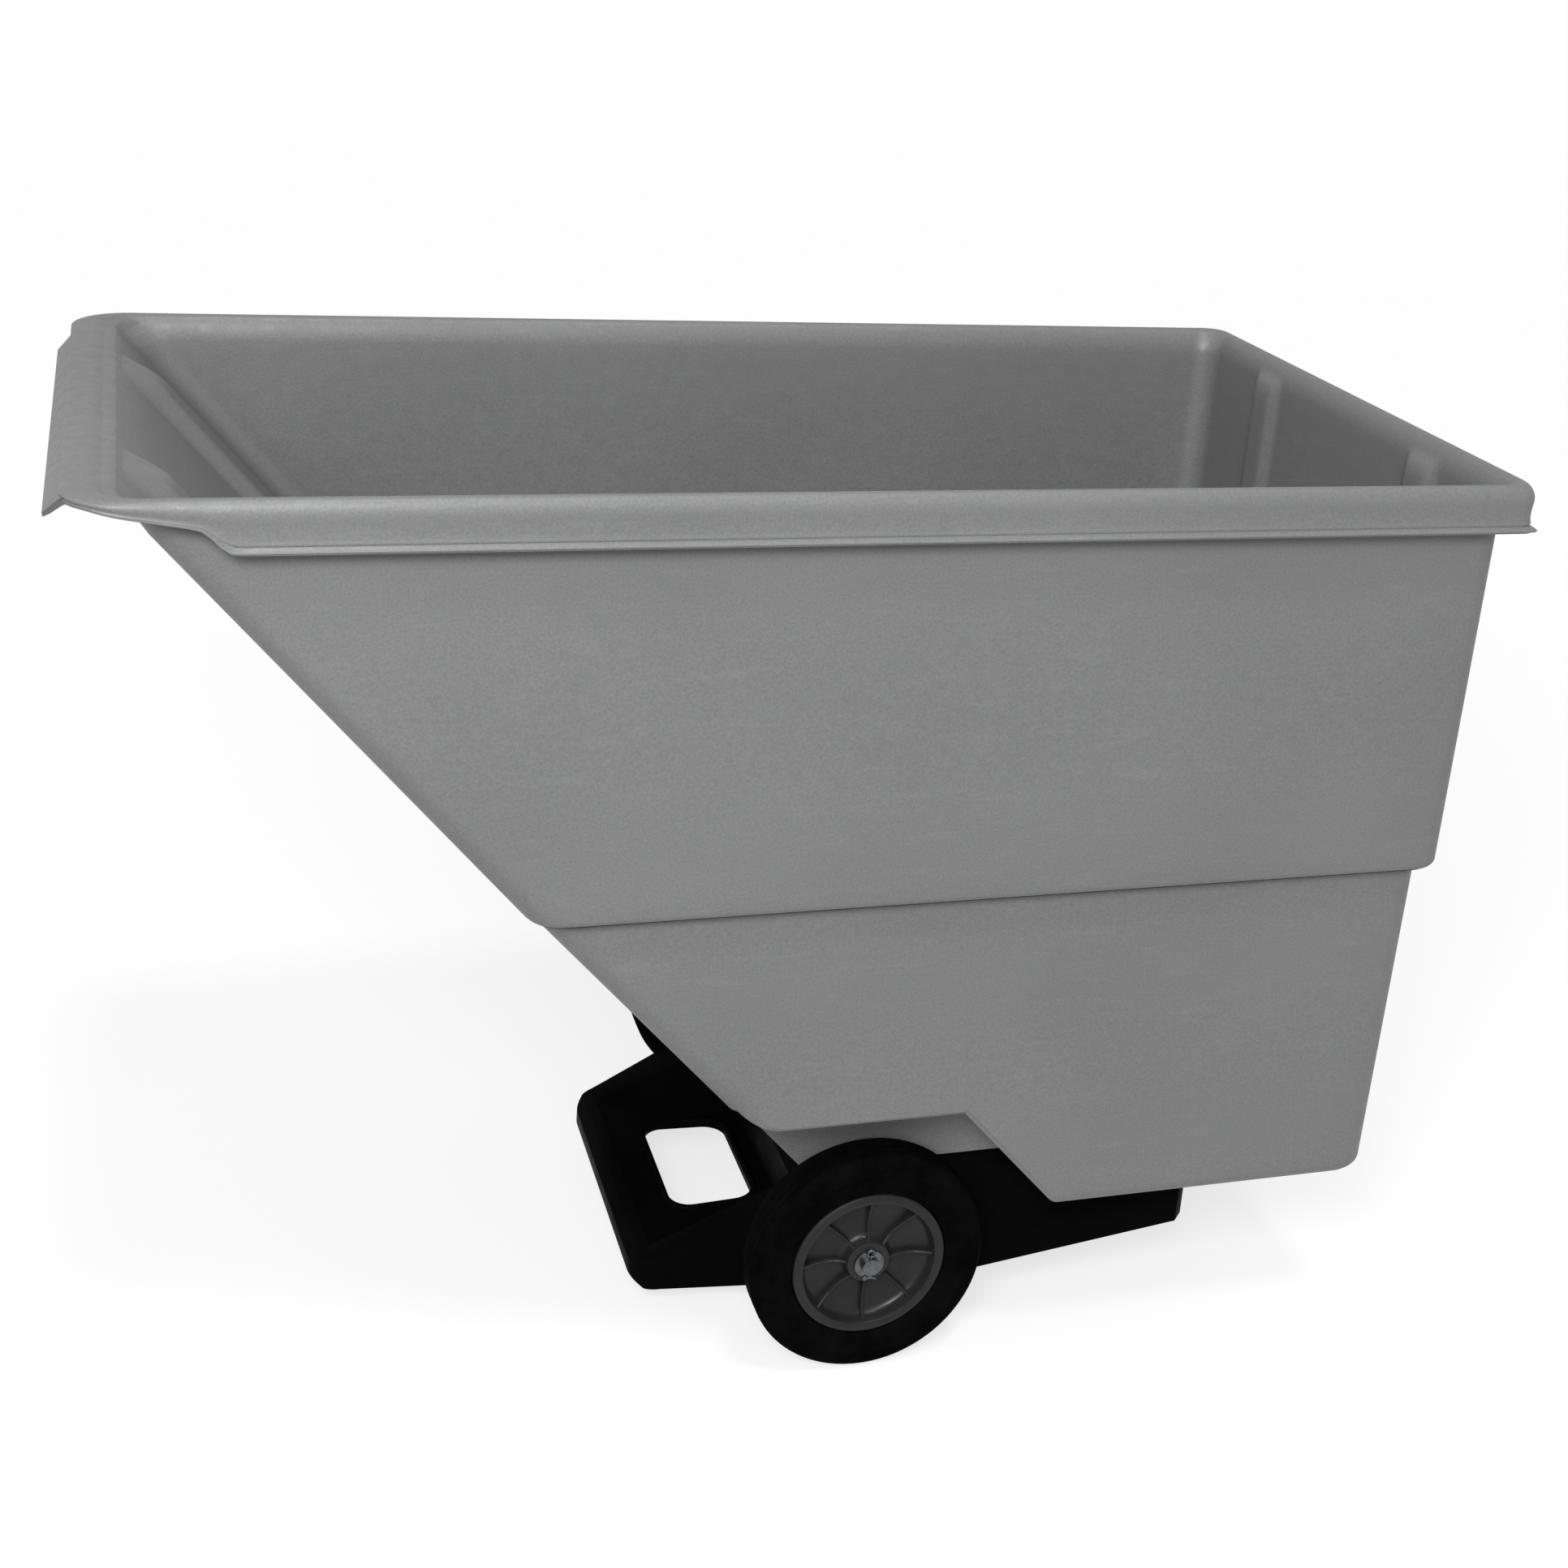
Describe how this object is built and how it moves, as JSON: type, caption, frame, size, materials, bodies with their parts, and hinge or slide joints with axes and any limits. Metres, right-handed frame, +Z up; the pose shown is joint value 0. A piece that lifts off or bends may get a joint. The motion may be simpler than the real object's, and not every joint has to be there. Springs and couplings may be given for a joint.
{
  "type": "tilt_truck",
  "caption": "Tilt truck hopper cart: moulded grey hopper with a sloping pouring front on a black base, large wheels on a through axle and small swivel casters at the back.",
  "frame": {"origin": "on the ground under the middle of the cart's length and width", "axes": "+Z up, +X towards the upright back wall over the casters, -X towards the sloping pouring front, -Y the near side in the picture"},
  "size_m": [1.411, 0.728, 0.982],
  "materials": {
    "hopper_plastic": "mid-grey rotomoulded polyethylene with a fine pebbled skin, soft sheen on the rolled rim",
    "base_plastic": "black moulded plastic, half gloss, light scuffs on the edges",
    "tyre_rubber": "black rubber with grooves round the tread",
    "hub_plastic": "dark grey moulded hub, satin",
    "zinc": "bright zinc-plated steel",
    "nylon": "natural nylon bush",
    "caster_rubber": "black moulded caster tread"
  },
  "bodies": {
    "cart": {"hopper_near_upper": "hopper_plastic", "hopper_far_upper": "hopper_plastic", "hopper_front_upper": "hopper_plastic", "hopper_back_upper": "hopper_plastic", "hopper_near_lower": "hopper_plastic", "hopper_far_lower": "hopper_plastic", "hopper_front_lower": "hopper_plastic", "hopper_back_lower": "hopper_plastic", "hopper_near_well": "hopper_plastic", "hopper_far_well": "hopper_plastic", "hopper_middle": "hopper_plastic", "base_nose": "base_plastic", "base_near_bay": "base_plastic", "base_far_bay": "base_plastic", "base_middle": "base_plastic", "hopper_bolt_1": "zinc", "hopper_bolt_2": "zinc", "hopper_bolt_3": "zinc", "hopper_bolt_4": "zinc", "hopper_bolt_5": "zinc", "hopper_bolt_6": "zinc", "hopper_nut_1": "zinc", "hopper_nut_2": "zinc", "hopper_nut_3": "zinc", "hopper_nut_4": "zinc", "hopper_nut_5": "zinc", "hopper_nut_6": "zinc", "axle": "zinc", "near_wheel_inner_washer": "zinc", "near_wheel_outer_washer": "zinc", "near_wheel_split_pin": "zinc", "near_caster_plate": "zinc", "near_caster_kingpin": "zinc", "near_caster_screw_1": "zinc", "near_caster_screw_2": "zinc", "near_caster_screw_3": "zinc", "near_caster_screw_4": "zinc", "far_wheel_inner_washer": "zinc", "far_wheel_outer_washer": "zinc", "far_wheel_split_pin": "zinc", "far_caster_plate": "zinc", "far_caster_kingpin": "zinc", "far_caster_screw_1": "zinc", "far_caster_screw_2": "zinc", "far_caster_screw_3": "zinc", "far_caster_screw_4": "zinc"},
    "near_wheel": {"near_wheel_hub": "hub_plastic", "near_wheel_tyre": "tyre_rubber", "near_wheel_bush": "nylon"},
    "near_caster_swivel": {"near_caster_fork": "zinc", "near_caster_axle_bolt": "zinc", "near_caster_axle_nut": "zinc"},
    "near_caster_roll": {"near_caster_wheel": "caster_rubber"},
    "far_wheel": {"far_wheel_hub": "hub_plastic", "far_wheel_tyre": "tyre_rubber", "far_wheel_bush": "nylon"},
    "far_caster_swivel": {"far_caster_fork": "zinc", "far_caster_axle_bolt": "zinc", "far_caster_axle_nut": "zinc"},
    "far_caster_roll": {"far_caster_wheel": "caster_rubber"}
  },
  "joints": [
    {"name": "near_wheel_spin", "type": "hinge", "parent": "cart", "child": "near_wheel", "pos_m": [0.0845, -0.2917, 0.127], "axis": [0, 1, 0], "continuous": true},
    {"name": "near_caster_swivel_turn", "type": "hinge", "parent": "cart", "child": "near_caster_swivel", "pos_m": [0.4125, -0.095, 0.09], "axis": [0, 0, 1], "continuous": true},
    {"name": "near_caster_wheel_spin", "type": "hinge", "parent": "near_caster_swivel", "child": "near_caster_roll", "pos_m": [0.4405, -0.095, 0.038], "axis": [0, 1, 0], "continuous": true},
    {"name": "far_wheel_spin", "type": "hinge", "parent": "cart", "child": "far_wheel", "pos_m": [0.0845, 0.2917, 0.127], "axis": [0, 1, 0], "continuous": true},
    {"name": "far_caster_swivel_turn", "type": "hinge", "parent": "cart", "child": "far_caster_swivel", "pos_m": [0.4125, 0.095, 0.09], "axis": [0, 0, 1], "continuous": true},
    {"name": "far_caster_wheel_spin", "type": "hinge", "parent": "far_caster_swivel", "child": "far_caster_roll", "pos_m": [0.4405, 0.095, 0.038], "axis": [0, 1, 0], "continuous": true}
  ]
}
